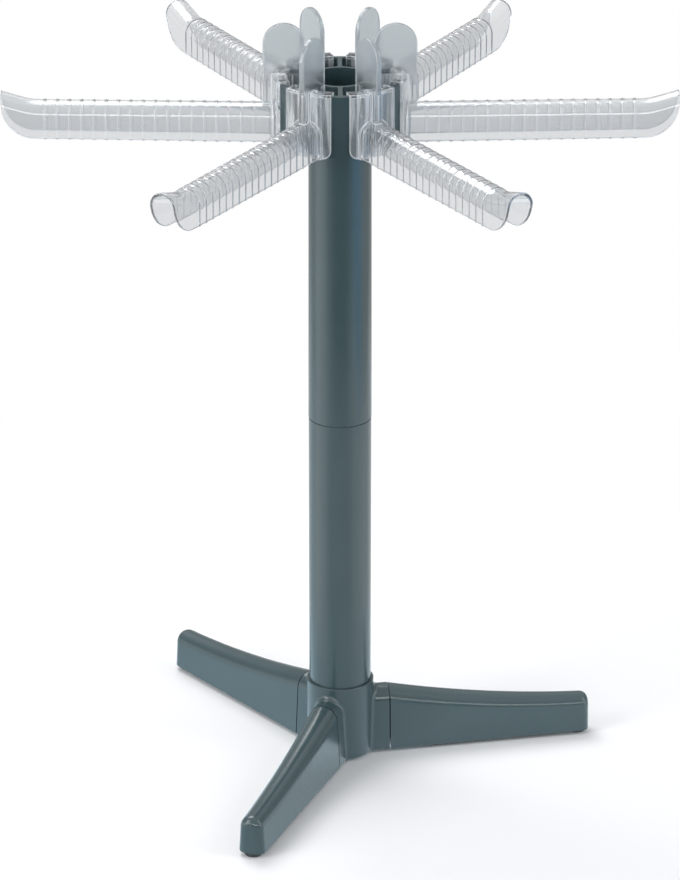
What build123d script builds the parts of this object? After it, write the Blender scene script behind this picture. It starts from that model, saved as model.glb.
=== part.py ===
from build123d import *
import math
import os

# A free-standing kitchen drying rack: a round column on three plug-in legs,
# with six clear arms hooked into T-shaped ribs round the column's head.
# Origin: on the column's axis, at the floor. +Z is up, and arm 1 points along +X.

# Floor and feet
pad_radius = 5.3
pad_thickness = 3.0
pad_edge = 0.6
stem_radius = 2.2
stem_length = 8.0
stem_clearance = 0.05
boss_wall = 2.2
stem_end_gap = 1.0

# Legs
leg_count = 3
leg_turn = 9.7
leg_reach = 157.0
leg_root_width = 21.6
leg_tip_width = 16.0
leg_root_height = 40.0
leg_tip_height = 22.9
leg_top_sag = 3.05
leg_draft = 3.0
leg_tip_round_share = 0.72
leg_seam_gap = 0.7
leg_wall = 2.4
pad_setback = 6.1
leg_rib_count = 4
leg_rib_thickness = 1.8
leg_rib_recess = 7.0
tongue_length = 20.0
tongue_width = 10.0
tongue_height = 24.0
tongue_rise = 4.0
tongue_lead = 1.2
tongue_clearance = 0.3

# Hub
seam_radius = 29.5
hub_foot = 2.2
hub_height = 47.5
hub_wall = 1.67
hub_floor = 3.0
hub_fillet = 3.5
hub_rim_edge = 0.5
turning_clearance = 0.08

# Column
tube_radius = 18.95
tube_bore_radius = 16.6
tube_edge = 0.5
lower_tube_length = 218.9
upper_tube_length = 216.4
upper_lip_radius = 19.1
upper_neck_radius = 18.75
spigot_length = 30.0
spigot_wall = 2.0
spigot_root = 5.0
spigot_lead = 1.0
spigot_clearance = 0.1

# Head: T-shaped ribs, their flanges on a circle round the column
arm_count = 6
head_height = 37.8
web_thickness = 2.7
web_foot_round = 1.5
web_flange_round = 2.0
flange_radius = 37.5
flange_thickness = 2.5
flange_width = 18.8
flange_edge_round = 0.6

# Clip of an arm: two curved plates with a flange between them, under one cap
slot_clearance = 0.3
clip_plate = 2.5
clip_hook = 2.7
clip_cap = 1.8
plate_web_gap = 3.95
hook_web_gap = 2.25
clip_corner_round = 5.5

# Thumb tab: an upright fin through the middle of the clip
tab_length = 25.3
tab_tube_gap = 1.45
tab_centre_rise = 20.55
tab_foot_thickness = 4.2
tab_top_thickness = 2.8

# Bar: a channel open at the bottom, with a round back and a turned-up tip
arm_reach = 200.0
bar_width = 17.2
bar_wall = 2.0
bar_root_height = 22.05
bar_back_angle = 0.66
bar_foot_angle = 0.97
bar_root_round = 1.6
tip_run = 12.5
tip_bend_radius = 40.0
tip_angle = 16.7
bow_length = 20.0
bow_height = 22.0

# Grip ridges over the back and sides of a bar
ridge_count = 18
ridge_first_gap = 10.7
ridge_pitch = 7.235
ridge_width = 0.8
ridge_height = 0.5

# One overrun for every cutting body
overrun = 5.0

# Levels and radii that several pieces share
foot_level = hub_foot + hub_floor
seam_level = foot_level + lower_tube_length
head_top = seam_level + upper_tube_length
head_foot = head_top - head_height
hub_bore_radius = tube_radius + turning_clearance
hub_radius = hub_bore_radius + hub_wall
flange_inner = flange_radius - flange_thickness
plate_inner = flange_radius + slot_clearance
plate_outer = plate_inner + clip_plate
hook_outer = flange_inner - slot_clearance
hook_inner = hook_outer - clip_hook
pad_place = leg_reach - pad_setback
half_pitch = 180 / arm_count


def spun(shape, count):
    """Copies of a shape, evenly spaced round the column."""
    return [Rot(0, 0, 360 * index / count) * shape for index in range(count)]


def axis_distance(point):
    """How far a corner or another point lies from the column's axis."""
    return math.hypot(point.X, point.Y)


def standing(radius, height):
    """A cylinder that stands on the ground plane."""
    return Cylinder(radius, height, align=(Align.CENTER, Align.CENTER, Align.MIN))


# Feet and legs
def foot_pad():
    """A round pad with a stem that plugs into the boss in the leg."""
    disc = Pos(pad_place, 0, 0) * standing(pad_radius, pad_thickness)
    disc = chamfer(disc.edges().filter_by(GeomType.CIRCLE).sort_by(Axis.Z)[0], pad_edge)
    return disc + Pos(pad_place, 0, pad_thickness) * standing(stem_radius, stem_length)


def crown_radius(half_foot, height):
    """Radius of the round top that the two drafted sides of a leg run into."""
    lean = math.radians(leg_draft)
    return (half_foot * math.cos(lean) - height * math.sin(lean)) / (1 - math.sin(lean))


def leg_section(place, foot, half_foot, height):
    """Section across a leg: a flat foot, two drafted sides and a round top."""
    lean = math.radians(leg_draft)
    radius = crown_radius(half_foot, height)
    spring_y = radius * math.cos(lean)
    spring_z = foot + height - radius * (1 - math.sin(lean))
    outline = Polyline(
        (spring_y, spring_z),
        (half_foot, foot),
        (-half_foot, foot),
        (-spring_y, spring_z),
    )
    crown = ThreePointArc((-spring_y, spring_z), (0, foot + height), (spring_y, spring_z))
    return Plane(origin=(place, 0, 0), x_dir=(0, 1, 0), z_dir=(1, 0, 0)) * make_face(outline + crown)


def leg_form(inset, start, end, below):
    """A leg's shape between two radii, drawn in by an inset and run on below its foot."""
    level_from = pad_place - pad_radius
    widening = below * math.tan(math.radians(leg_draft))

    def section(place):
        share = (place - seam_radius) / (leg_reach - seam_radius)
        rise = (pad_thickness - hub_foot) * (place - seam_radius) / (level_from - seam_radius)
        half_foot = (leg_root_width + (leg_tip_width - leg_root_width) * share) / 2
        height = leg_root_height + (leg_tip_height - leg_root_height) * share
        height -= 4 * leg_top_sag * share * (1 - share)
        return leg_section(
            place, hub_foot + rise - below, half_foot - inset + widening, height - inset + below
        )

    # The skin runs smoothly over three sections, the middle one lowered by the sag
    body = loft([section(start), section((start + end) / 2), section(end)])
    tip = body.faces().sort_by(Axis.X)[-1]
    tip_round = leg_tip_round_share * crown_radius(leg_tip_width / 2 - inset, leg_tip_height - inset)
    return fillet(tip.edges().sort_by(Axis.Z)[1:], tip_round)


def leg():
    """A tapered beam, hollow from below, with a socket for the hub's tongue at its root."""
    hollow_start = seam_radius + tongue_length + tongue_clearance + leg_wall
    middle_start = hollow_start - leg_wall / 2
    middle_end = leg_reach - leg_wall / 2
    body = leg_form(0, seam_radius + leg_seam_gap, leg_reach, 0)
    inside = leg_form(leg_wall / 2, middle_start, middle_end, overrun)
    body -= leg_form(leg_wall, hollow_start, leg_reach - leg_wall, overrun)
    stretch = pad_place - hollow_start
    for index in range(leg_rib_count):
        place = hollow_start + stretch * (index + 1) / (leg_rib_count + 1)
        rib = Pos(place, 0, pad_thickness + leg_rib_recess + leg_root_height / 2) * Box(
            leg_rib_thickness, leg_root_width, leg_root_height
        )
        body += rib & inside
    hole_radius = stem_radius + stem_clearance
    boss = Pos(pad_place, 0, pad_thickness) * standing(hole_radius + boss_wall, leg_root_height)
    body += boss & inside
    body -= Pos(pad_place, 0, pad_thickness) * standing(hole_radius, stem_length + stem_end_gap)
    return body - tongue(tongue_clearance, 0)


def tongue(gap, lead):
    """The tongue on a hub stub, grown by a gap where it cuts the leg's socket."""
    body = Pos(seam_radius, 0, hub_foot + tongue_rise - gap) * Box(
        tongue_length + gap,
        tongue_width + 2 * gap,
        tongue_height + 2 * gap,
        align=(Align.MIN, Align.CENTER, Align.MIN),
    )
    if lead:
        body = chamfer(body.faces().sort_by(Axis.X)[-1].edges(), lead)
    return body


# Hub
def base_hub():
    """A round socket for the column, with a stub and a tongue towards each leg."""
    body = Pos(0, 0, hub_foot) * standing(hub_radius, hub_height)
    stub = extrude(leg_section(0, hub_foot, leg_root_width / 2, leg_root_height), seam_radius)
    for piece in spun(stub, leg_count):
        body += piece
    joins = body.edges().filter_by(
        lambda edge: edge.geom_type != GeomType.LINE
        and abs(axis_distance(edge @ 0) - hub_radius) < tube_edge
        and edge.bounding_box().size.Z > hub_fillet
    )
    body = fillet(joins, hub_fillet)
    body = chamfer(body.faces().sort_by(Axis.Z)[-1].edges(), hub_rim_edge)
    body -= Pos(0, 0, foot_level) * standing(hub_bore_radius, hub_height)
    for piece in spun(tongue(0, tongue_lead), leg_count):
        body += piece
    return Rot(0, 0, leg_turn) * body


# Column
def lower_column():
    """The lower tube, drawn in at the top to the spigot that carries the upper one."""
    spigot_radius = tube_bore_radius - spigot_clearance
    spigot_bore = spigot_radius - spigot_wall
    spigot_top = seam_level + spigot_length
    step = tube_bore_radius - spigot_bore
    profile = Polygon(
        (tube_bore_radius, foot_level),
        (tube_radius, foot_level),
        (tube_radius, seam_level - tube_edge),
        (tube_radius - tube_edge, seam_level),
        (spigot_radius, seam_level),
        (spigot_radius, spigot_top - spigot_lead),
        (spigot_radius - spigot_lead, spigot_top),
        (spigot_bore, spigot_top),
        (spigot_bore, seam_level - spigot_root),
        (tube_bore_radius, seam_level - spigot_root - step),
        align=None,
    )
    return revolve(Plane.XZ * profile, Axis.Z)


def t_rib():
    """Plan of one T-shaped rib, along +X, with the flange on its circle."""
    middle = (tube_bore_radius + upper_neck_radius) / 2
    web_end = (flange_inner + flange_radius) / 2
    web = Pos((middle + web_end) / 2, 0) * Rectangle(web_end - middle, web_thickness)
    band = Circle(flange_radius) - Circle(flange_inner)
    flange = band & (Pos(flange_radius, 0) * Rectangle(flange_radius, flange_width))
    rib = web + flange
    inner_corners = rib.vertices().filter_by(
        lambda corner: corner.X > upper_neck_radius and abs(corner.Y) < web_thickness
    )
    rib = fillet(inner_corners, web_flange_round)
    outer_corners = rib.vertices().filter_by(lambda corner: abs(corner.Y) > flange_width / 3)
    return fillet(outer_corners, flange_edge_round)


def upper_column():
    """The upper tube and its head of six T-shaped ribs with open slots between them."""
    ring = Circle(upper_neck_radius) - Circle(tube_bore_radius)
    for rib in spun(t_rib(), arm_count):
        ring += rib
    feet = ring.vertices().filter_by(
        lambda corner: abs(axis_distance(corner) - upper_neck_radius) < tube_edge
    )
    ring = fillet(feet, web_foot_round)
    head = Pos(0, 0, head_foot) * extrude(ring, head_height)
    profile = Polygon(
        (tube_bore_radius + tube_edge, seam_level),
        (upper_lip_radius - tube_edge, seam_level),
        (upper_lip_radius, seam_level + tube_edge),
        (upper_neck_radius, head_foot),
        (tube_bore_radius, head_foot),
        (tube_bore_radius, seam_level + tube_edge),
        align=None,
    )
    return revolve(Plane.XZ * profile, Axis.Z) + Rot(0, 0, half_pitch) * head


# Arms
def clip_sector(inner, outer, web_gap):
    """A curved strip between two ribs, its ends parallel to the ribs' webs."""
    end_gap = web_thickness / 2 + web_gap
    slope = math.radians(half_pitch)
    apex = end_gap / math.sin(slope)
    reach = 2 * outer
    wedge = Polygon(
        (apex, 0),
        (apex + reach * math.cos(slope), -reach * math.sin(slope)),
        (apex + reach * math.cos(slope), reach * math.sin(slope)),
        align=None,
    )
    return (Circle(outer) - Circle(inner)) & wedge


def clip_wall(inner, outer, web_gap):
    """One upright plate of the clip, with its two lower corners rounded."""
    sector = clip_sector(inner, outer, web_gap)
    wall = Pos(0, 0, head_foot) * extrude(sector, head_height + clip_cap)
    corners = wall.edges().filter_by(GeomType.LINE).group_by(Axis.Z)[0]
    return fillet(corners, clip_corner_round)


def tab_blank():
    """The thumb tab: a drafted fin with a round top, which also joins plate and hook."""
    near = upper_neck_radius + tab_tube_gap
    far = near + tab_length
    spring = head_top + tab_centre_rise
    inside = (plate_inner + plate_outer) / 2
    shoulder = head_foot + bar_root_height - bar_wall / 2
    outline = Polyline(
        (far, spring),
        (far, shoulder),
        (inside, shoulder),
        (inside, head_foot),
        (near, head_foot),
        (near, spring),
    )
    crown = ThreePointArc((near, spring), ((near + far) / 2, spring + tab_length / 2), (far, spring))
    side = Plane.XZ * make_face(outline + crown)
    summit = spring + tab_length / 2
    foot_half = tab_foot_thickness / 2
    top_half = tab_top_thickness / 2
    taper = Polygon(
        (-foot_half, head_foot),
        (foot_half, head_foot),
        (top_half, summit),
        (-top_half, summit),
        align=None,
    )
    return extrude(side, tab_foot_thickness, both=True) & extrude(Plane.YZ * taper, far + overrun)


def arch(half_width, drop):
    """An upside-down U with its crown at the origin and its open side down."""
    outline = Polyline(
        (half_width, -half_width),
        (half_width, -drop),
        (-half_width, -drop),
        (-half_width, -half_width),
    )
    crown = ThreePointArc((-half_width, -half_width), (0, 0), (half_width, -half_width))
    return make_face(outline + crown)


def bar():
    """The long channel of an arm, with grip ridges and the turned-up tip."""
    start = (plate_inner + plate_outer) / 2
    half_width = bar_width / 2
    rise = math.tan(math.radians(bar_back_angle))
    fall = math.tan(math.radians(bar_foot_angle))

    def back_at(radius):
        return head_foot + bar_root_height + rise * (radius - plate_outer)

    def foot_at(radius):
        return head_foot + fall * (radius - plate_outer)

    turn = tip_angle - bar_back_angle
    bend_start = arm_reach - tip_run - tip_bend_radius * math.radians(turn)
    straight = Line((start, back_at(start)), (bend_start, back_at(bend_start)))
    bend = JernArc(straight @ 1, straight % 1, tip_bend_radius, turn)
    lift = Line(bend @ 1, bend @ 1 + (bend % 1) * (tip_run + overrun))
    path = Plane.XZ * (straight + bend + lift)
    frame = Plane(origin=path @ 0, x_dir=(0, 1, 0), z_dir=path % 0)
    depth = bar_root_height + bow_height
    body = sweep(frame * arch(half_width, depth), path=path)
    core = sweep(frame * Pos(0, -bar_wall) * arch(half_width - bar_wall, depth), path=path)
    for index in range(ridge_count):
        place = plate_outer + ridge_first_gap + ridge_pitch * index
        station = Plane(
            origin=(place - ridge_width / 2, 0, back_at(place) + ridge_height),
            x_dir=(0, 1, 0),
            z_dir=(1, 0, 0),
        )
        body += extrude(station * arch(half_width + ridge_height, depth), ridge_width)

    bow_start = arm_reach - bow_length
    bow_centre = foot_at(bow_start) + bow_height
    ceiling = head_top
    bow = EllipticalCenterArc((bow_start, bow_centre), bow_length, bow_height, 270, arc_size=90)
    outline = Polyline(
        (arm_reach, bow_centre),
        (arm_reach, ceiling),
        (start, ceiling),
        (start, head_foot),
        (plate_outer, head_foot),
        (bow_start, foot_at(bow_start)),
    )
    side = extrude(Plane.XZ * make_face(outline + bow), bar_width, both=True)
    return (body - core) & side


def meets_plate(edge):
    """Whether an edge lies where the outside of the bar grows out of the plate."""
    box = edge.bounding_box()
    on_plate = plate_inner < box.min.X and box.max.X < plate_outer + bar_wall / 2
    upright = box.size.Z > bar_wall and box.max.Z < head_top
    return on_plate and upright and max(box.max.Y, -box.min.Y) > (bar_width - bar_wall) / 2


def arm():
    """One clear arm in a single moulding: clip, thumb tab and bar."""
    body = clip_wall(plate_inner, plate_outer, plate_web_gap) + bar()
    body = fillet(body.edges().filter_by(meets_plate), bar_root_round)
    hook = clip_wall(hook_inner, hook_outer, hook_web_gap)
    cap = Pos(0, 0, head_top) * extrude(clip_sector(hook_inner, plate_outer, plate_web_gap), clip_cap)
    return body + hook + cap + tab_blank()


os.makedirs("parts", exist_ok=True)
parts = {
    "base_hub": base_hub(),
    "lower_column": lower_column(),
    "upper_column": upper_column(),
}
one_leg = Rot(0, 0, leg_turn) * leg()
one_pad = Rot(0, 0, leg_turn) * foot_pad()
for name, piece in zip(("right", "back", "front"), spun(one_leg, leg_count)):
    parts["leg_" + name] = piece
for name, piece in zip(("right", "back", "front"), spun(one_pad, leg_count)):
    parts["foot_pad_" + name] = piece
for index, piece in enumerate(spun(arm(), arm_count)):
    parts[f"arm_{index + 1}"] = piece
for name, piece in parts.items():
    export_step(piece, f"parts/{name}.step")
    print(name, len(piece.solids()), round(piece.volume), piece.is_valid)
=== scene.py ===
import math

import bmesh
import bpy
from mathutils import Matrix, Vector


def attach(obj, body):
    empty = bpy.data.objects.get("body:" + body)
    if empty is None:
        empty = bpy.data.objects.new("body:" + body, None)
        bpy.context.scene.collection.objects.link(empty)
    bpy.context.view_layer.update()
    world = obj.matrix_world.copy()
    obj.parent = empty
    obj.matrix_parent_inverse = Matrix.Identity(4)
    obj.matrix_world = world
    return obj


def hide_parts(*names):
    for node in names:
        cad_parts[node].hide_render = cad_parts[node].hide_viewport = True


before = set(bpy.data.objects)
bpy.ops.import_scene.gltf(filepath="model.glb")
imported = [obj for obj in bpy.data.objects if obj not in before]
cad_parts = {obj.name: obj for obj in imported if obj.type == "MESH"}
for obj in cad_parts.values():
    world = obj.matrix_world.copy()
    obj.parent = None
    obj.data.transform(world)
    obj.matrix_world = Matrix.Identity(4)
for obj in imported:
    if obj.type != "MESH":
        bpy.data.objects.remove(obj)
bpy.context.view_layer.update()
scene = bpy.context.scene

# Sizes in millimetres, in the shared frame; MM turns them to metres
MM = 0.001
# Rounding of the walls' rims and thin edges
RIM_ROUND = 0.35

# Levels of the head and the floor
HEAD_FOOT = 402.7
HEAD_TOP = 440.5
FLOOR = 0.0

# Clip of an arm
PLATE_INNER = 37.8
PLATE_OUTER = 40.3
HOOK_INNER = 32.0
HOOK_OUTER = 34.7
CAP_THICKNESS = 1.8
CAP_ROUND = 0.8
PLATE_END_GAP = 5.3
HOOK_END_GAP = 3.6
CLIP_CORNER = 5.5
HALF_PITCH = math.radians(30)

# Thumb tab
TAB_NEAR = 20.2
TAB_FAR = 45.5
TAB_SPRING = 461.05
TAB_FOOT_THICKNESS = 4.2
TAB_TOP_THICKNESS = 2.8
TAB_EDGE = 0.7
TAB_FADE = 9.0

# Bar
REACH = 200.0
BAR_HALF = 8.6
BAR_WALL = 2.0
BAR_HEIGHT = 22.05
BAR_FLARE = 1.6
BACK_ANGLE = math.radians(0.66)
FOOT_ANGLE = math.radians(0.97)
TIP_ANGLE = math.radians(16.7)
TIP_RUN = 12.5
TIP_BEND = 40.0
BOW_LENGTH = 20.0
BOW_HEIGHT = 22.0
BOW_STEPS = 16
ARC_STEPS = 24

# Grip ridges
RIDGE_COUNT = 18
RIDGE_FIRST = 51.0
RIDGE_PITCH = 7.235
RIDGE_WIDTH = 0.8
RIDGE_HEIGHT = 0.42
# Where a ridge's rounded top ends and where its side meets the bar, as shares of its width
RIDGE_CROWN = 0.1
RIDGE_FOOT = 1.2

ARM_COUNT = 6

# Real sizes behind the surface patterns
DRIFT_SIZE = 40.0
GRAIN_SIZE = 0.8
PATCH_SIZE = 12.0
BLOOM_SIZE = 1.5
EDGE_REACH = 1.3
STREAK_WIDTH = 3.0
STREAK_LENGTH = 40.0
WAVE_SIZE = 9.0
RUB_SIZE = 5.0

# Roughness of the plastics, from the glossiest patch to the dullest, and what a tab adds to it
SLATE_ROUGHNESS = (0.18, 0.25)
CLEAR_ROUGHNESS = (0.02, 0.08)
TAB_ROUGHNESS = 0.12

# Clear plastic: how much light goes straight through, and how much haze takes from it; the streaks'
# haze is a painted reflection of the lamps and the edges' haze a painted highlight. A surface that turns
# away by these cosines within the edge's reach starts to be an edge, and is all edge
CLEAR_SHARE = 0.97
CLIP_HAZE = 0.02
STREAK_PAINTED_REFLECTION = 0.40
TAB_HAZE = 0.26
EDGE_PAINTED_HIGHLIGHT = 0.85
EDGE_TURN = (0.985, 0.88)

# Studio, in metres and watts. A lamp has a name, a place, an aim, a size, a power and a colour
WHITE = (1.0, 1.0, 1.0, 1.0)
TABLE_HALF = 0.6
FADE_START = 0.26
FADE_END = TABLE_HALF - 0.02
BASE_NEAR = 0.16
BASE_FAR = 0.25
FILL_TINT = (0.96, 0.975, 1.0, 1.0)
FILL_STRENGTH = 0.42
RACK_MIDDLE = (0.0, 0.0, 0.25)
LAMPS = (
    ("left_softbox", (-1.5, -0.9, 0.9), RACK_MIDDLE, (0.9, 1.6), 18.0, (1.0, 1.0, 1.0)),
    ("right_softbox", (1.5, -0.5, 0.8), RACK_MIDDLE, (0.6, 1.6), 9.0, (0.95, 0.975, 1.0)),
    ("top_softbox", (-0.5, 0.9, 1.8), RACK_MIDDLE, (1.2, 1.2), 22.0, (1.0, 1.0, 1.0)),
    ("front_strip", (0.1, -2.6, 0.85), (0.0, 0.0, 0.0), (2.0, 0.25), 8.0, (1.0, 1.0, 1.0)),
)

# The world's gloss by the height of a direction, where 1 is straight up: walls that fade into a
# ceiling, the ceiling's rise in brightness, and a narrow window of light in front
WALL_FADE = (0.05, 0.30)
CEILING_RISE = (0.35, 0.75)
CEILING_STRENGTH = (0.45, 1.1)
WINDOW_LEVEL = 0.28
WINDOW_EDGE = (0.02, 0.05)
WINDOW_STRENGTH = 8.0
# How far to the front a direction points where the window starts, and where it is at its brightest
WINDOW_FRONT = (-0.55, -0.75)

# Gloss sees these colours by bearing: degrees from the front, left negative
SURROUND_STRENGTH = 2.0
ROOM_GLOSS = (
    (-180, (0.6, 0.6, 0.6)),
    (-115, (0.7, 0.7, 0.7)),
    (-85, (1.9, 1.9, 1.9)),
    (-60, (1.6, 1.6, 1.6)),
    (-40, (0.5, 0.5, 0.5)),
    (-17, (0.1, 0.1, 0.1)),
    (17, (0.1, 0.1, 0.1)),
    (38, (0.3, 0.45, 0.55)),
    (55, (0.45, 0.95, 1.5)),
    (70, (0.5, 1.0, 1.6)),
    (95, (0.9, 0.9, 0.9)),
    (120, (0.6, 0.6, 0.6)),
    (180, (0.6, 0.6, 0.6)),
)
TABLE_GLOSS = (
    (-180, (0.8, 0.8, 0.8)),
    (-115, (1.0, 1.15, 1.25)),
    (-85, (1.8, 1.85, 1.9)),
    (-60, (1.6, 1.6, 1.6)),
    (-35, (0.8, 0.95, 1.05)),
    (0, (0.85, 0.9, 0.9)),
    (25, (0.8, 0.9, 0.95)),
    (60, (1.45, 1.5, 1.5)),
    (90, (1.5, 1.55, 1.55)),
    (115, (1.1, 1.15, 1.2)),
    (180, (0.8, 0.85, 0.85)),
)
# The same on the table close to the base, where the legs mirror it
BASE_GLOSS = (
    (-180, (1.0, 1.2, 1.3)),
    (-120, (1.1, 1.4, 1.6)),
    (-60, (1.1, 1.3, 1.45)),
    (-25, (0.8, 1.0, 1.1)),
    (0, (0.8, 0.95, 1.0)),
    (30, (0.9, 1.1, 1.2)),
    (65, (1.13, 1.33, 1.48)),
    (120, (1.0, 1.2, 1.3)),
    (180, (1.0, 1.2, 1.3)),
)


# Meshes
def mesh_object(name, points, faces):
    """A mesh object from points in millimetres, its faces turned outwards."""
    mesh = bpy.data.meshes.new(name)
    mesh.from_pydata([tuple(c * MM for c in point) for point in points], [], faces)
    work = bmesh.new()
    work.from_mesh(mesh)
    bmesh.ops.recalc_face_normals(work, faces=work.faces)
    work.to_mesh(mesh)
    work.free()
    mesh.shade_smooth()
    obj = bpy.data.objects.new(name, mesh)
    scene.collection.objects.link(obj)
    return obj


def skin(rings, walled):
    """Points and faces through a run of equal closed rings. A walled ring is an outer path and the
    inner path back, and its ends close across the wall; any other end is one flat face."""
    size = len(rings[0])
    points = [point for ring in rings for point in ring]
    faces = []
    for row in range(len(rings) - 1):
        for i in range(size):
            j = (i + 1) % size
            faces.append((row * size + i, row * size + j, (row + 1) * size + j, (row + 1) * size + i))
    for base in (0, (len(rings) - 1) * size):
        if walled:
            for i in range(size // 2 - 1):
                faces.append((base + i, base + i + 1, base + size - 2 - i, base + size - 1 - i))
        else:
            faces.append(tuple(range(base, base + size)))
    return points, faces


# Bar
def back_level(x):
    """Height of the bar's back: a straight rise, a bend, then the turned-up tip."""
    turn = TIP_ANGLE - BACK_ANGLE
    bend_start = REACH - TIP_RUN - TIP_BEND * turn
    rise = math.tan(BACK_ANGLE)
    if x <= bend_start:
        return HEAD_FOOT + BAR_HEIGHT + rise * (x - PLATE_OUTER)
    level = HEAD_FOOT + BAR_HEIGHT + rise * (bend_start - PLATE_OUTER)
    centre_x = bend_start - TIP_BEND * math.sin(BACK_ANGLE)
    centre_z = level + TIP_BEND * math.cos(BACK_ANGLE)
    bend_end = centre_x + TIP_BEND * math.sin(TIP_ANGLE)
    if x <= bend_end:
        return centre_z - math.sqrt(TIP_BEND**2 - (x - centre_x) ** 2)
    return centre_z - TIP_BEND * math.cos(TIP_ANGLE) + math.tan(TIP_ANGLE) * (x - bend_end)


def foot_level(x):
    """Height of the bar's lower edge: a straight rise, then a quarter ellipse up to the tip."""
    bow_start = REACH - BOW_LENGTH
    straight = HEAD_FOOT + math.tan(FOOT_ANGLE) * (min(x, bow_start) - PLATE_OUTER)
    if x <= bow_start:
        return straight
    along = min(1.0, (x - bow_start) / BOW_LENGTH)
    return straight + BOW_HEIGHT * (1 - math.sqrt(max(0.0, 1 - along * along)))


def wall_path(half, crown, foot, lean):
    """Points over one face of the bar's wall, from foot to foot; lean rounds the lower edge."""
    spring = crown - half
    short_side = 1.2
    start = math.asin(min(1.0, max(0.0, (foot + short_side - spring) / half)))
    shoulder = spring + half * math.sin(start)

    def side(level):
        if level <= spring:
            return half
        return half * math.cos(math.asin(min(1.0, (level - spring) / half)))

    levels = [foot + RIM_ROUND] + [foot + (shoulder - foot) * share for share in (0.35, 0.7)]
    near = [(side(foot) - lean, foot)] + [(side(level), level) for level in levels]
    far = [(-y, z) for y, z in reversed(near)]
    arc = []
    for step in range(ARC_STEPS + 1):
        angle = start + (math.pi - 2 * start) * step / ARC_STEPS
        arc.append((half * math.cos(angle), spring + half * math.sin(angle)))
    return near + arc + far


def bar_ring(x, swell, inset):
    """One closed section of the bar's wall."""
    back, foot = back_level(x), foot_level(x)
    outer = wall_path(BAR_HALF + swell - inset, back + swell - inset, foot, RIM_ROUND)
    inner = wall_path(BAR_HALF - BAR_WALL + inset, back - BAR_WALL + inset, foot, -RIM_ROUND)
    return [(x, y, z) for y, z in outer + inner[::-1]]


def bar_stations():
    """Places along the bar: close together at its root, on the ridges and round the tip."""
    places = set()
    for centre in (RIDGE_FIRST + RIDGE_PITCH * index for index in range(RIDGE_COUNT)):
        for offset in (-0.96, -0.75, -0.55, -0.35, -0.18, 0.0, 0.18, 0.35, 0.55, 0.75, 0.96):
            places.add(centre + offset)
        places.add(centre - RIDGE_PITCH / 2)
    last = RIDGE_FIRST + RIDGE_PITCH * (RIDGE_COUNT - 1)
    bow_start = REACH - BOW_LENGTH
    places.add((last + bow_start) / 2)
    for step in range(BOW_STEPS + 1):
        share = math.sin(math.pi / 2 * step / BOW_STEPS)
        places.add(bow_start + (BOW_LENGTH - RIM_ROUND) * share)
    return sorted(places)


def bar_mesh():
    """The bar without its ridges, with the skin that carries them marked."""
    rings = [bar_ring((PLATE_INNER + PLATE_OUTER) / 2, BAR_FLARE, 0)]
    for share in (0.0, 0.08, 0.25, 0.55, 1.0):
        swell = BAR_FLARE * (1 - math.sqrt(1 - (1 - share) ** 2))
        rings.append(bar_ring(PLATE_OUTER + BAR_FLARE * share, swell, 0))
    rings += [bar_ring(x, 0, 0) for x in bar_stations()]
    rings.append(bar_ring(REACH - RIM_ROUND / 3, 0, RIM_ROUND / 3))
    rings.append(bar_ring(REACH, 0, RIM_ROUND))
    points, faces = skin(rings, walled=True)
    bar = mesh_object("bar_blank", points, faces)
    marks = bar.data.attributes.new("back_skin", "FLOAT", "POINT")
    size = len(rings[0])
    marks.data.foreach_set("value", [1.0 if i % size < size // 2 else 0.0 for i in range(len(points))])
    return bar


# Clip
def clip_path(side_radius, top_level, far_radius, corner, inset_sign, inset):
    """One face of the clip's folded wall: up the plate, over the cap and down the hook."""
    z_low = HEAD_FOOT + (inset if inset else 0)
    rises = (0.0, RIM_ROUND, 1.0, 1.8, 2.8, 4.0, CLIP_CORNER, 12.0, 20.0, 28.0)
    top = top_level + inset_sign * inset
    first = side_radius + inset_sign * inset
    last = far_radius - inset_sign * inset
    path = []
    for rise in rises:
        lean = inset_sign * max(0.0, RIM_ROUND - inset) if rise == 0 else 0.0
        path.append((first + lean, z_low + rise if rise == 0 else HEAD_FOOT + rise))
    for step in range(4):
        angle = math.pi / 2 * step / 3
        path.append((first - corner * (1 - math.cos(angle)), top - corner * (1 - math.sin(angle))))
    for share in (0.33, 0.67):
        path.append((first - corner + (last - first + 2 * corner) * share, top))
    mirror = [(last + (first - r), z) for r, z in path[:-2]]
    return path + mirror[::-1]


def clip_ring(share, pull, inset):
    """One closed section of the clip, turned to a share of its half angle."""
    outer = clip_path(PLATE_OUTER, HEAD_TOP + CAP_THICKNESS, HOOK_INNER, CAP_ROUND, -1, inset)
    inner = clip_path(PLATE_INNER, HEAD_TOP, HOOK_OUTER, RIM_ROUND, 1, inset)
    ring = []
    for r, z in outer + inner[::-1]:
        blend = min(1.0, max(0.0, (r - HOOK_OUTER) / (PLATE_INNER - HOOK_OUTER)))
        gap = HOOK_END_GAP + (PLATE_END_GAP - HOOK_END_GAP) * blend
        rise = z - HEAD_FOOT
        if rise < CLIP_CORNER:
            gap += CLIP_CORNER - math.sqrt(CLIP_CORNER**2 - (CLIP_CORNER - rise) ** 2)
        reach = HALF_PITCH - math.asin(gap / r) - pull / r
        ring.append((r * math.cos(reach * share), r * math.sin(reach * share), z))
    return ring


def clip_mesh():
    """Plate, cap and hook as one folded wall that grips the flanges of two ribs."""
    steps = 20
    shares = [-1 + 2 * step / steps for step in range(steps + 1)]
    rings = [clip_ring(-1, 0, RIM_ROUND), clip_ring(-1, RIM_ROUND / 3, RIM_ROUND / 3)]
    rings += [clip_ring(share, RIM_ROUND, 0) for share in shares]
    rings += [clip_ring(1, RIM_ROUND / 3, RIM_ROUND / 3), clip_ring(1, 0, RIM_ROUND)]
    return mesh_object("clip_blank", *skin(rings, walled=True))


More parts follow.
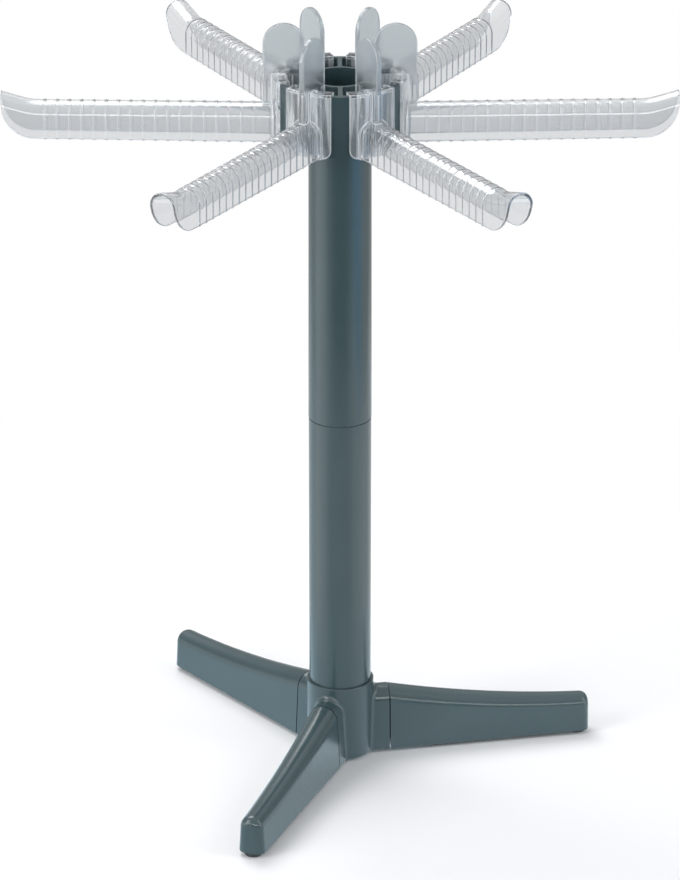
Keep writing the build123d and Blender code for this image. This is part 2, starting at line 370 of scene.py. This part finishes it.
# Tab
def tab_ring(inset, side, lift):
    """The tab's outline at one depth of its thickness; its draft makes the top thinner."""
    radius = (TAB_FAR - TAB_NEAR) / 2
    middle = (TAB_FAR + TAB_NEAR) / 2
    inside = (PLATE_INNER + PLATE_OUTER) / 2
    shoulder = HEAD_FOOT + BAR_HEIGHT - BAR_WALL / 2
    outline = [(inside, HEAD_FOOT + 1), (inside, shoulder), (TAB_FAR - inset, shoulder)]
    for step in range(ARC_STEPS + 1):
        angle = math.pi * step / ARC_STEPS
        outline.append(
            (middle + (radius - inset) * math.cos(angle), TAB_SPRING + (radius - inset) * math.sin(angle))
        )
    outline.append((TAB_NEAR + inset, HEAD_FOOT + inset))
    summit = TAB_SPRING + radius
    ring = []
    for x, z in outline:
        share = (z - HEAD_FOOT) / (summit - HEAD_FOOT)
        half = (TAB_FOOT_THICKNESS + (TAB_TOP_THICKNESS - TAB_FOOT_THICKNESS) * share) / 2
        ring.append((x, side * (half - lift), z))
    return ring


def tab_mesh():
    """The upright fin through the clip, with rounded edges."""
    levels = [(TAB_EDGE, 0.0)]
    for step in (1, 2, 3):
        angle = math.pi / 2 * step / 3
        levels.append((TAB_EDGE * (1 - math.sin(angle)), TAB_EDGE * (1 - math.cos(angle))))
    rings = [tab_ring(inset, 1, lift) for inset, lift in levels]
    rings += [tab_ring(inset, -1, lift) for inset, lift in reversed(levels)]
    return mesh_object("tab_blank", *skin(rings, walled=False))


# Nodes and materials
def add_node(tree, kind, inputs=(), **settings):
    """Adds a node. Settings are its properties; inputs are values, or sockets to link from, or
    nodes to link from by their first output."""
    made = tree.nodes.new(kind)
    for name, value in settings.items():
        setattr(made, name, value)
    for key, value in dict(inputs).items():
        if isinstance(value, bpy.types.Node):
            value = value.outputs[0]
        if isinstance(value, bpy.types.NodeSocket):
            tree.links.new(value, made.inputs[key])
        else:
            made.inputs[key].default_value = value
    return made


def srgb(text):
    """An sRGB hex colour as linear red, green, blue and full alpha."""
    channels = [int(text[i : i + 2], 16) / 255 for i in (1, 3, 5)]
    linear = [c / 12.92 if c <= 0.04045 else ((c + 0.055) / 1.055) ** 2.4 for c in channels]
    return (*linear, 1.0)


def new_material(name):
    """An empty node material and its tree."""
    material = bpy.data.materials.new(name)
    material.use_nodes = True
    material.node_tree.nodes.clear()
    return material, material.node_tree


def slate_abs():
    """Injection-moulded ABS in slate grey-blue, from a finely spark-eroded tool: an even satin
    with a faint grain, slightly uneven gloss and a soft drift of tone."""
    material, tree = new_material("slate_abs_moulded")
    place = add_node(tree, "ShaderNodeTexCoord").outputs["Object"]
    # Broad tone drift of pigmented plastic, about 40 mm across
    drift = add_node(
        tree, "ShaderNodeTexNoise", {"Vector": place, "Scale": 1 / (DRIFT_SIZE * MM), "Detail": 2.0}
    )
    tone = add_node(tree, "ShaderNodeValToRGB", {"Fac": drift.outputs["Fac"]})
    tone.color_ramp.elements[0].position = 0.3
    tone.color_ramp.elements[0].color = srgb("#394c50")
    tone.color_ramp.elements[1].position = 0.7
    tone.color_ramp.elements[1].color = srgb("#3d5054")
    # Spark-eroded grain, really about 0.1 mm, drawn at 0.8 mm so that it shows
    grain = add_node(
        tree, "ShaderNodeTexNoise", {"Vector": place, "Scale": 1 / (GRAIN_SIZE * MM), "Detail": 1.0}
    )
    bump = add_node(
        tree, "ShaderNodeBump", {"Height": grain.outputs["Fac"], "Strength": 0.03, "Distance": 0.03 * MM}
    )
    # Handling leaves patches of higher and lower gloss, about 12 mm across
    patches = add_node(
        tree, "ShaderNodeTexNoise", {"Vector": place, "Scale": 1 / (PATCH_SIZE * MM), "Detail": 3.0}
    )
    gloss = add_node(
        tree,
        "ShaderNodeMapRange",
        {
            "Value": patches.outputs["Fac"],
            "From Min": 0.3,
            "From Max": 0.7,
            "To Min": SLATE_ROUGHNESS[0],
            "To Max": SLATE_ROUGHNESS[1],
        },
    )
    shader = add_node(
        tree,
        "ShaderNodeBsdfPrincipled",
        {
            "Base Color": tone.outputs["Color"],
            "Roughness": gloss.outputs["Result"],
            "IOR": 1.53,
            "Normal": bump.outputs["Normal"],
        },
    )
    add_node(tree, "ShaderNodeOutputMaterial", {"Surface": shader})
    return material


def foot_rubber():
    """Compression-moulded rubber of the foot pads: dark, matt, with a dusty bloom."""
    material, tree = new_material("foot_rubber_moulded")
    place = add_node(tree, "ShaderNodeTexCoord").outputs["Object"]
    # Pale bloom in spots about 1.5 mm across
    bloom = add_node(
        tree, "ShaderNodeTexNoise", {"Vector": place, "Scale": 1 / (BLOOM_SIZE * MM), "Detail": 4.0}
    )
    tone = add_node(tree, "ShaderNodeValToRGB", {"Fac": bloom.outputs["Fac"]})
    tone.color_ramp.elements[0].position = 0.35
    tone.color_ramp.elements[0].color = srgb("#2b2f31")
    tone.color_ramp.elements[1].position = 0.75
    tone.color_ramp.elements[1].color = srgb("#3a3f41")
    bump = add_node(
        tree, "ShaderNodeBump", {"Height": bloom.outputs["Fac"], "Strength": 0.3, "Distance": 0.1 * MM}
    )
    shader = add_node(
        tree,
        "ShaderNodeBsdfPrincipled",
        {
            "Base Color": tone.outputs["Color"],
            "Roughness": 0.75,
            "IOR": 1.52,
            "Normal": bump.outputs["Normal"],
        },
    )
    add_node(tree, "ShaderNodeOutputMaterial", {"Surface": shader})
    return material


def clear_san():
    """Clear SAN, injection moulded in a polished tool: its edges and ridges carry a painted highlight,
    the walls show faint flow waves and rubbing marks, and the clips carry upright draw grooves under
    painted reflection streaks. The thumb tabs have a satin haze that veils what is behind."""
    material, tree = new_material("clear_san_moulded")
    place = add_node(tree, "ShaderNodeTexCoord").outputs["Object"]
    parts = add_node(tree, "ShaderNodeSeparateXYZ", {0: place}).outputs
    flat = add_node(tree, "ShaderNodeCombineXYZ", {"X": parts["X"], "Y": parts["Y"]})
    radius = add_node(tree, "ShaderNodeVectorMath", {0: flat}, operation="LENGTH").outputs["Value"]
    # The clips lie within the plate's radius; above their caps only tabs stand
    near = add_node(
        tree,
        "ShaderNodeMapRange",
        {
            "Value": radius,
            "From Min": PLATE_OUTER * MM,
            "From Max": (PLATE_OUTER + BAR_FLARE) * MM,
            "To Min": 1.0,
            "To Max": 0.0,
        },
    )
    cap_level = (HEAD_TOP + CAP_THICKNESS) * MM
    under_cap = add_node(tree, "ShaderNodeMath", {0: parts["Z"], 1: cap_level}, operation="LESS_THAN")
    clip = add_node(tree, "ShaderNodeMath", {0: near, 1: under_cap}, operation="MULTIPLY")
    tab = add_node(
        tree,
        "ShaderNodeMapRange",
        {"Value": parts["Z"], "From Min": cap_level, "From Max": cap_level + TAB_FADE * MM},
    )
    # Edges and ridges, found where the normal turns within 1.3 mm; their haze is a painted highlight, a
    # near-white that stands in for light gathered in them
    turned = add_node(tree, "ShaderNodeBevel", {"Radius": EDGE_REACH * MM}, samples=6)
    plain = add_node(tree, "ShaderNodeNewGeometry").outputs["Normal"]
    same = add_node(tree, "ShaderNodeVectorMath", {0: turned, 1: plain}, operation="DOT_PRODUCT")
    edge = add_node(
        tree,
        "ShaderNodeMapRange",
        {"Value": same.outputs["Value"], "From Min": EDGE_TURN[0], "From Max": EDGE_TURN[1]},
    )
    # Upright streaks 3 mm wide and 40 mm tall: as a bump they are shallow draw grooves where the clip
    # slid off the tool, and as haze they are painted reflection streaks of the lamps
    squeeze = (1 / (STREAK_WIDTH * MM), 1 / (STREAK_WIDTH * MM), 1 / (STREAK_LENGTH * MM))
    drawn = add_node(tree, "ShaderNodeVectorMath", {0: place, 1: squeeze}, operation="MULTIPLY")
    streaks = add_node(tree, "ShaderNodeTexNoise", {"Vector": drawn, "Scale": 1.0, "Detail": 1.0})
    painted_streak = add_node(
        tree, "ShaderNodeMapRange", {"Value": streaks.outputs["Fac"], "From Min": 0.5, "From Max": 0.66}
    )
    # The strongest haze of the three counts: painted reflection streaks in the clips, satin tabs, and the
    # painted highlight on edges
    clip_haze_and_painted_streaks = add_node(
        tree, "ShaderNodeMath", {0: painted_streak, 1: STREAK_PAINTED_REFLECTION, 2: CLIP_HAZE}, operation="MULTIPLY_ADD"
    )
    haze = add_node(tree, "ShaderNodeMath", {0: clip, 1: clip_haze_and_painted_streaks}, operation="MULTIPLY")
    for mask, most in ((tab, TAB_HAZE), (edge, EDGE_PAINTED_HIGHLIGHT)):
        own = add_node(tree, "ShaderNodeMath", {0: mask, 1: most}, operation="MULTIPLY")
        haze = add_node(tree, "ShaderNodeMath", {0: haze, 1: own}, operation="MAXIMUM")
    clearness = add_node(tree, "ShaderNodeMath", {0: CLEAR_SHARE, 1: haze}, operation="SUBTRACT")
    # The bars' tint, changed where clips, tabs and edges lie: on the clips it is also the colour of their
    # painted reflection streaks, and the edges' near-white is the colour of their painted highlight
    tint = srgb("#dfe1e3")
    for mask, colour in ((clip, "#eff2f4"), (tab, "#c8ced1"), (edge, "#f7f9fc")):
        mixed = add_node(tree, "ShaderNodeMix", {0: mask, 6: tint, 7: srgb(colour)}, data_type="RGBA")
        tint = mixed.outputs[2]
    # Flow waves about 9 mm apart, from the melt filling the tool
    waves = add_node(
        tree, "ShaderNodeTexNoise", {"Vector": place, "Scale": 1 / (WAVE_SIZE * MM), "Detail": 1.0}
    )
    flow = add_node(
        tree, "ShaderNodeBump", {"Height": waves.outputs["Fac"], "Strength": 0.2, "Distance": 0.15 * MM}
    )
    grooves = add_node(
        tree, "ShaderNodeMath", {0: clip, 1: streaks.outputs["Fac"]}, operation="MULTIPLY"
    )
    bump = add_node(
        tree,
        "ShaderNodeBump",
        {
            "Height": grooves,
            "Strength": 0.6,
            "Distance": 0.3 * MM,
            "Normal": flow.outputs["Normal"],
        },
    )
    # Rubbing marks in patches about 5 mm across
    rubbed = add_node(
        tree, "ShaderNodeTexNoise", {"Vector": place, "Scale": 1 / (RUB_SIZE * MM), "Detail": 4.0}
    )
    gloss = add_node(
        tree,
        "ShaderNodeMapRange",
        {
            "Value": rubbed.outputs["Fac"],
            "From Min": 0.35,
            "From Max": 0.75,
            "To Min": CLEAR_ROUGHNESS[0],
            "To Max": CLEAR_ROUGHNESS[1],
        },
    )
    rough = add_node(
        tree, "ShaderNodeMath", {0: tab, 1: TAB_ROUGHNESS, 2: gloss}, operation="MULTIPLY_ADD"
    )
    shader = add_node(
        tree,
        "ShaderNodeBsdfPrincipled",
        {
            "Base Color": tint,
            "Roughness": rough,
            "IOR": 1.57,
            "Transmission Weight": clearness,
            "Normal": bump.outputs["Normal"],
        },
    )
    # Part of the lamps' light shines through, so the ribs behind the clips stay lit
    passed = add_node(tree, "ShaderNodeBsdfTransparent", {"Color": srgb("#cbced1")})
    rays = add_node(tree, "ShaderNodeLightPath").outputs
    surface = add_node(tree, "ShaderNodeMixShader", {0: rays["Is Shadow Ray"], 1: shader, 2: passed})
    add_node(tree, "ShaderNodeOutputMaterial", {"Surface": surface})
    return material


# Ridges and the finished arms
def arm_tree(clip, tab):
    """Raises the grip ridges on the bar's skin, welds on clip and tab, and turns the arm to its place."""
    tree = bpy.data.node_groups.new("ribbed_arm", "GeometryNodeTree")
    face = tree.interface
    face.new_socket("Geometry", in_out="INPUT", socket_type="NodeSocketGeometry")
    defaults = {
        "Ridge Count": RIDGE_COUNT,
        "First Ridge": RIDGE_FIRST * MM,
        "Ridge Pitch": RIDGE_PITCH * MM,
        "Ridge Width": RIDGE_WIDTH * MM,
        "Ridge Height": RIDGE_HEIGHT * MM,
        "Arm Turn": 0.0,
    }
    for name, value in defaults.items():
        socket = face.new_socket(name, in_out="INPUT", socket_type="NodeSocketFloat")
        socket.default_value = value
    face.new_socket("Material", in_out="INPUT", socket_type="NodeSocketMaterial")
    face.new_socket("Geometry", in_out="OUTPUT", socket_type="NodeSocketGeometry")
    given = add_node(tree, "NodeGroupInput").outputs

    # How far each point lies along the bar from the nearest ridge
    position = add_node(tree, "GeometryNodeInputPosition")
    along = add_node(tree, "ShaderNodeSeparateXYZ", {0: position}).outputs["X"]
    past = add_node(tree, "ShaderNodeMath", {0: along, 1: given["First Ridge"]}, operation="SUBTRACT")
    steps = add_node(tree, "ShaderNodeMath", {0: past, 1: given["Ridge Pitch"]}, operation="DIVIDE")
    last = add_node(tree, "ShaderNodeMath", {0: given["Ridge Count"], 1: 1.0}, operation="SUBTRACT")
    whole = add_node(tree, "ShaderNodeMath", {0: steps}, operation="ROUND")
    from_first = add_node(tree, "ShaderNodeMath", {0: whole, 1: 0.0}, operation="MAXIMUM")
    nearest = add_node(tree, "ShaderNodeMath", {0: from_first, 1: last}, operation="MINIMUM")
    short_of = add_node(tree, "ShaderNodeMath", {0: steps, 1: nearest}, operation="SUBTRACT")
    aside = add_node(tree, "ShaderNodeMath", {0: short_of}, operation="ABSOLUTE")
    away = add_node(tree, "ShaderNodeMath", {0: aside, 1: given["Ridge Pitch"]}, operation="MULTIPLY")
    # The ridge's height there, on the skin that carries ridges
    width = given["Ridge Width"]
    crown = add_node(tree, "ShaderNodeMath", {0: width, 1: RIDGE_CROWN}, operation="MULTIPLY")
    foot = add_node(tree, "ShaderNodeMath", {0: width, 1: RIDGE_FOOT}, operation="MULTIPLY")
    raised = add_node(
        tree,
        "ShaderNodeMapRange",
        {
            "Value": away,
            "From Min": crown,
            "From Max": foot,
            "To Min": given["Ridge Height"],
            "To Max": 0.0,
        },
        interpolation_type="SMOOTHSTEP",
    )
    marks = add_node(tree, "GeometryNodeInputNamedAttribute", {"Name": "back_skin"}, data_type="FLOAT")
    amount = add_node(
        tree, "ShaderNodeMath", {0: raised, 1: marks.outputs["Attribute"]}, operation="MULTIPLY"
    )
    normal = add_node(tree, "GeometryNodeInputNormal").outputs["Normal"]
    offset = add_node(tree, "ShaderNodeVectorMath", {0: normal, "Scale": amount}, operation="SCALE")
    ribbed = add_node(tree, "GeometryNodeSetPosition", {"Geometry": given["Geometry"], "Offset": offset})
    weld = add_node(tree, "GeometryNodeMeshBoolean", operation="UNION", solver="EXACT")
    tree.links.new(ribbed.outputs[0], weld.inputs["Mesh 2"])
    for blank in (clip, tab):
        source = add_node(tree, "GeometryNodeObjectInfo", {"Object": blank})
        tree.links.new(source.outputs["Geometry"], weld.inputs["Mesh 2"])
    turn = add_node(tree, "ShaderNodeCombineXYZ", {"Z": given["Arm Turn"]})
    turned = add_node(
        tree, "GeometryNodeTransform", {"Geometry": weld.outputs["Mesh"], "Rotation": turn}
    )
    real = add_node(tree, "GeometryNodeRealizeInstances", {"Geometry": turned})
    painted = add_node(
        tree, "GeometryNodeSetMaterial", {"Geometry": real, "Material": given["Material"]}
    )
    add_node(tree, "NodeGroupOutput", {"Geometry": painted})
    return tree


def socket_id(tree, name):
    """The identifier of a node group's named input."""
    for item in tree.interface.items_tree:
        if item.in_out == "INPUT" and item.name == name:
            return item.identifier
    raise KeyError(name)


def finished_mesh(obj, name):
    """The evaluated object as a plain mesh."""
    bpy.context.view_layer.update()
    ready = obj.evaluated_get(bpy.context.evaluated_depsgraph_get())
    mesh = bpy.data.meshes.new_from_object(ready)
    mesh.name = name
    return mesh


def even_normals(obj):
    """Keeps flat faces flat and rounded edges smooth, by normals weighted with face area."""
    obj.data.shade_smooth()
    obj.data.set_sharp_from_angle(angle=math.radians(40))
    weigh = obj.modifiers.new("even normals", "WEIGHTED_NORMAL")
    weigh.keep_sharp = True
    mesh = finished_mesh(obj, obj.name)
    obj.modifiers.remove(weigh)
    obj.data = mesh


def build_arms(material):
    """Six clear arms, each in one mesh, in place of their nodes."""
    bar, clip, tab = bar_mesh(), clip_mesh(), tab_mesh()
    tree = arm_tree(clip, tab)
    made = []
    for index in range(ARM_COUNT):
        blank = bpy.data.objects.new("arm_blank", bar.data.copy())
        scene.collection.objects.link(blank)
        shape = blank.modifiers.new("ribbed arm", "NODES")
        shape.node_group = tree
        shape[socket_id(tree, "Arm Turn")] = 2 * math.pi * index / ARM_COUNT
        shape[socket_id(tree, "Material")] = material
        name = f"clear_arm_{index + 1}"
        arm = bpy.data.objects.new(name, finished_mesh(blank, name))
        scene.collection.objects.link(arm)
        bpy.data.objects.remove(blank)
        even_normals(arm)
        node = f"arm_{index + 1}"
        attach(arm, node)
        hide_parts(node)
        made.append(arm)
    for blank in (bar, clip, tab):
        bpy.data.objects.remove(blank)
    return made


def dress(node, material):
    """Gives a CAD node its material."""
    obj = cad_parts[node]
    obj.data.materials.clear()
    obj.data.materials.append(material)


# Studio
def surround(tree, place, stops):
    """Colour by bearing round the rack. Stops are degrees from the front, left negative."""
    parts = add_node(tree, "ShaderNodeSeparateXYZ", {0: place}).outputs
    ahead = add_node(tree, "ShaderNodeMath", {0: parts["Y"], 1: -1.0}, operation="MULTIPLY")
    bearing = add_node(tree, "ShaderNodeMath", {0: parts["X"], 1: ahead}, operation="ARCTAN2")
    share = add_node(
        tree, "ShaderNodeMath", {0: bearing, 1: 0.5 / math.pi, 2: 0.5}, operation="MULTIPLY_ADD"
    )
    ramp = add_node(tree, "ShaderNodeValToRGB", {"Fac": share})
    ramp.color_ramp.interpolation = "EASE"
    while len(ramp.color_ramp.elements) < len(stops):
        ramp.color_ramp.elements.new(0.5)
    for element, (degrees, colour) in zip(ramp.color_ramp.elements, stops):
        element.position = degrees / 360 + 0.5
        element.color = (*(channel / SURROUND_STRENGTH for channel in colour), 1.0)
    return ramp.outputs["Color"]


def seen_ray(tree, rays):
    """One for a ray that shows what is behind, straight or through clear plastic; nought for a ray
    that has bounced off a matt surface."""
    direct, through = rays["Is Camera Ray"], rays["Is Transmission Ray"]
    shows = add_node(tree, "ShaderNodeMath", {0: direct, 1: through}, operation="MAXIMUM")
    fresh = add_node(tree, "ShaderNodeMath", {0: rays["Diffuse Depth"], 1: 0.5}, operation="LESS_THAN")
    return add_node(tree, "ShaderNodeMath", {0: shows, 1: fresh}, operation="MULTIPLY")


def build_floor():
    """A table under white paper, which keeps the shadow and fades into the white background. Gloss
    meets its tones by bearing instead, with a ring of their own close to the base."""
    mesh = bpy.data.meshes.new("floor")
    corners = [(-1, -1), (1, -1), (1, 1), (-1, 1)]
    mesh.from_pydata([(TABLE_HALF * x, TABLE_HALF * y, FLOOR) for x, y in corners], [], [(0, 1, 2, 3)])
    floor = bpy.data.objects.new("floor", mesh)
    scene.collection.objects.link(floor)
    material, tree = new_material("floor_white_paper")
    place = add_node(tree, "ShaderNodeTexCoord").outputs["Object"]
    distance = add_node(tree, "ShaderNodeVectorMath", {0: place}, operation="LENGTH").outputs["Value"]
    fade = add_node(
        tree,
        "ShaderNodeMapRange",
        {"Value": distance, "From Min": FADE_START, "From Max": FADE_END},
        interpolation_type="SMOOTHSTEP",
    )
    paper = add_node(tree, "ShaderNodeBsdfDiffuse", {"Color": srgb("#fafafb")})
    white = add_node(tree, "ShaderNodeEmission", {"Color": WHITE, "Strength": 1.0})
    rays = add_node(tree, "ShaderNodeLightPath").outputs
    far = add_node(tree, "ShaderNodeMath", {0: seen_ray(tree, rays), 1: fade}, operation="MULTIPLY")
    lit = add_node(tree, "ShaderNodeMixShader", {0: far, 1: paper, 2: white})
    away = add_node(
        tree, "ShaderNodeMapRange", {"Value": distance, "From Min": BASE_NEAR, "From Max": BASE_FAR}
    )
    around = add_node(
        tree,
        "ShaderNodeMix",
        {0: away, 6: surround(tree, place, BASE_GLOSS), 7: surround(tree, place, TABLE_GLOSS)},
        data_type="RGBA",
    ).outputs[2]
    mirrored = add_node(tree, "ShaderNodeEmission", {"Color": around, "Strength": SURROUND_STRENGTH})
    mixed = add_node(tree, "ShaderNodeMixShader", {0: rays["Is Glossy Ray"], 1: lit, 2: mirrored})
    add_node(tree, "ShaderNodeOutputMaterial", {"Surface": mixed})
    mesh.materials.append(material)


def build_world():
    """Soft surround: white where it is seen or shines through. Gloss meets pale walls low down at
    the sides and back, the dark of the room in front with one narrow window, and a dim ceiling."""
    world = bpy.data.worlds.new("studio")
    scene.world = world
    world.use_nodes = True
    tree = world.node_tree
    tree.nodes.clear()
    place = add_node(tree, "ShaderNodeTexCoord").outputs["Generated"]
    parts = add_node(tree, "ShaderNodeSeparateXYZ", {0: place}).outputs
    height = parts["Z"]
    above = add_node(
        tree,
        "ShaderNodeMapRange",
        {"Value": height, "From Min": WALL_FADE[0], "From Max": WALL_FADE[1]},
        interpolation_type="SMOOTHSTEP",
    )
    overhead = add_node(
        tree,
        "ShaderNodeMapRange",
        {
            "Value": height,
            "From Min": CEILING_RISE[0],
            "From Max": CEILING_RISE[1],
            "To Min": CEILING_STRENGTH[0],
            "To Max": CEILING_STRENGTH[1],
        },
        interpolation_type="SMOOTHSTEP",
    )
    fill = add_node(tree, "ShaderNodeBackground", {"Color": FILL_TINT, "Strength": FILL_STRENGTH})
    walls = surround(tree, place, ROOM_GLOSS)
    low = add_node(tree, "ShaderNodeBackground", {"Color": walls, "Strength": SURROUND_STRENGTH})
    high = add_node(tree, "ShaderNodeBackground", {"Color": WHITE, "Strength": overhead})
    room = add_node(tree, "ShaderNodeMixShader", {0: above, 1: low, 2: high})
    # The window, which draws the thin lines along the legs' rounds
    beside = add_node(tree, "ShaderNodeMath", {0: height, 1: WINDOW_LEVEL}, operation="SUBTRACT")
    off = add_node(tree, "ShaderNodeMath", {0: beside}, operation="ABSOLUTE")
    band = add_node(
        tree,
        "ShaderNodeMapRange",
        {
            "Value": off,
            "From Min": WINDOW_EDGE[0],
            "From Max": WINDOW_EDGE[1],
            "To Min": WINDOW_STRENGTH,
            "To Max": 0.0,
        },
        interpolation_type="SMOOTHSTEP",
    )
    front = add_node(
        tree,
        "ShaderNodeMapRange",
        {"Value": parts["Y"], "From Min": WINDOW_FRONT[0], "From Max": WINDOW_FRONT[1]},
    )
    glow = add_node(tree, "ShaderNodeMath", {0: band, 1: front}, operation="MULTIPLY")
    window = add_node(tree, "ShaderNodeBackground", {"Color": WHITE, "Strength": glow})
    shine = add_node(tree, "ShaderNodeAddShader", {0: room, 1: window})
    white = add_node(tree, "ShaderNodeBackground", {"Color": WHITE, "Strength": 1.0})
    rays = add_node(tree, "ShaderNodeLightPath").outputs
    glossy = add_node(tree, "ShaderNodeMixShader", {0: rays["Is Glossy Ray"], 1: fill, 2: shine})
    shown = add_node(tree, "ShaderNodeMixShader", {0: seen_ray(tree, rays), 1: glossy, 2: white})
    add_node(tree, "ShaderNodeOutputWorld", {"Surface": shown})


def add_softbox(name, place, target, size, power, colour):
    """A rectangular softbox that looks at a point."""
    light = bpy.data.lights.new(name, "AREA")
    light.shape = "RECTANGLE"
    light.size, light.size_y = size
    light.energy = power
    light.color = colour
    obj = bpy.data.objects.new(name, light)
    obj.location = place
    obj.rotation_euler = (Vector(target) - Vector(place)).to_track_quat("-Z", "Y").to_euler()
    obj.visible_camera = False
    scene.collection.objects.link(obj)


def build_lights():
    """Two tall softboxes beside the rack, one above and behind it, and a low strip in front."""
    for lamp in LAMPS:
        add_softbox(*lamp)


def build_camera():
    """The photograph's view: a long lens from well back and above."""
    camera = bpy.data.cameras.new("photo_view")
    camera.lens = 210.6
    camera.sensor_width = 36.0
    camera.clip_end = 30.0
    distance, height = 2.8728, 1.4293
    pitch, turn = math.radians(23.03), math.radians(-0.26)
    obj = bpy.data.objects.new("photo_view", camera)
    obj.location = (distance * math.sin(turn), -distance * math.cos(turn), height)
    obj.rotation_euler = (math.pi / 2 - pitch, 0.0, turn)
    scene.collection.objects.link(obj)
    scene.camera = obj


slate = slate_abs()
for node in ("base_hub", "lower_column", "upper_column", "leg_right", "leg_back", "leg_front"):
    dress(node, slate)
rubber = foot_rubber()
for node in ("foot_pad_right", "foot_pad_back", "foot_pad_front"):
    dress(node, rubber)
build_arms(clear_san())
build_floor()
build_world()
build_lights()
build_camera()
scene.view_settings.view_transform = "Standard"
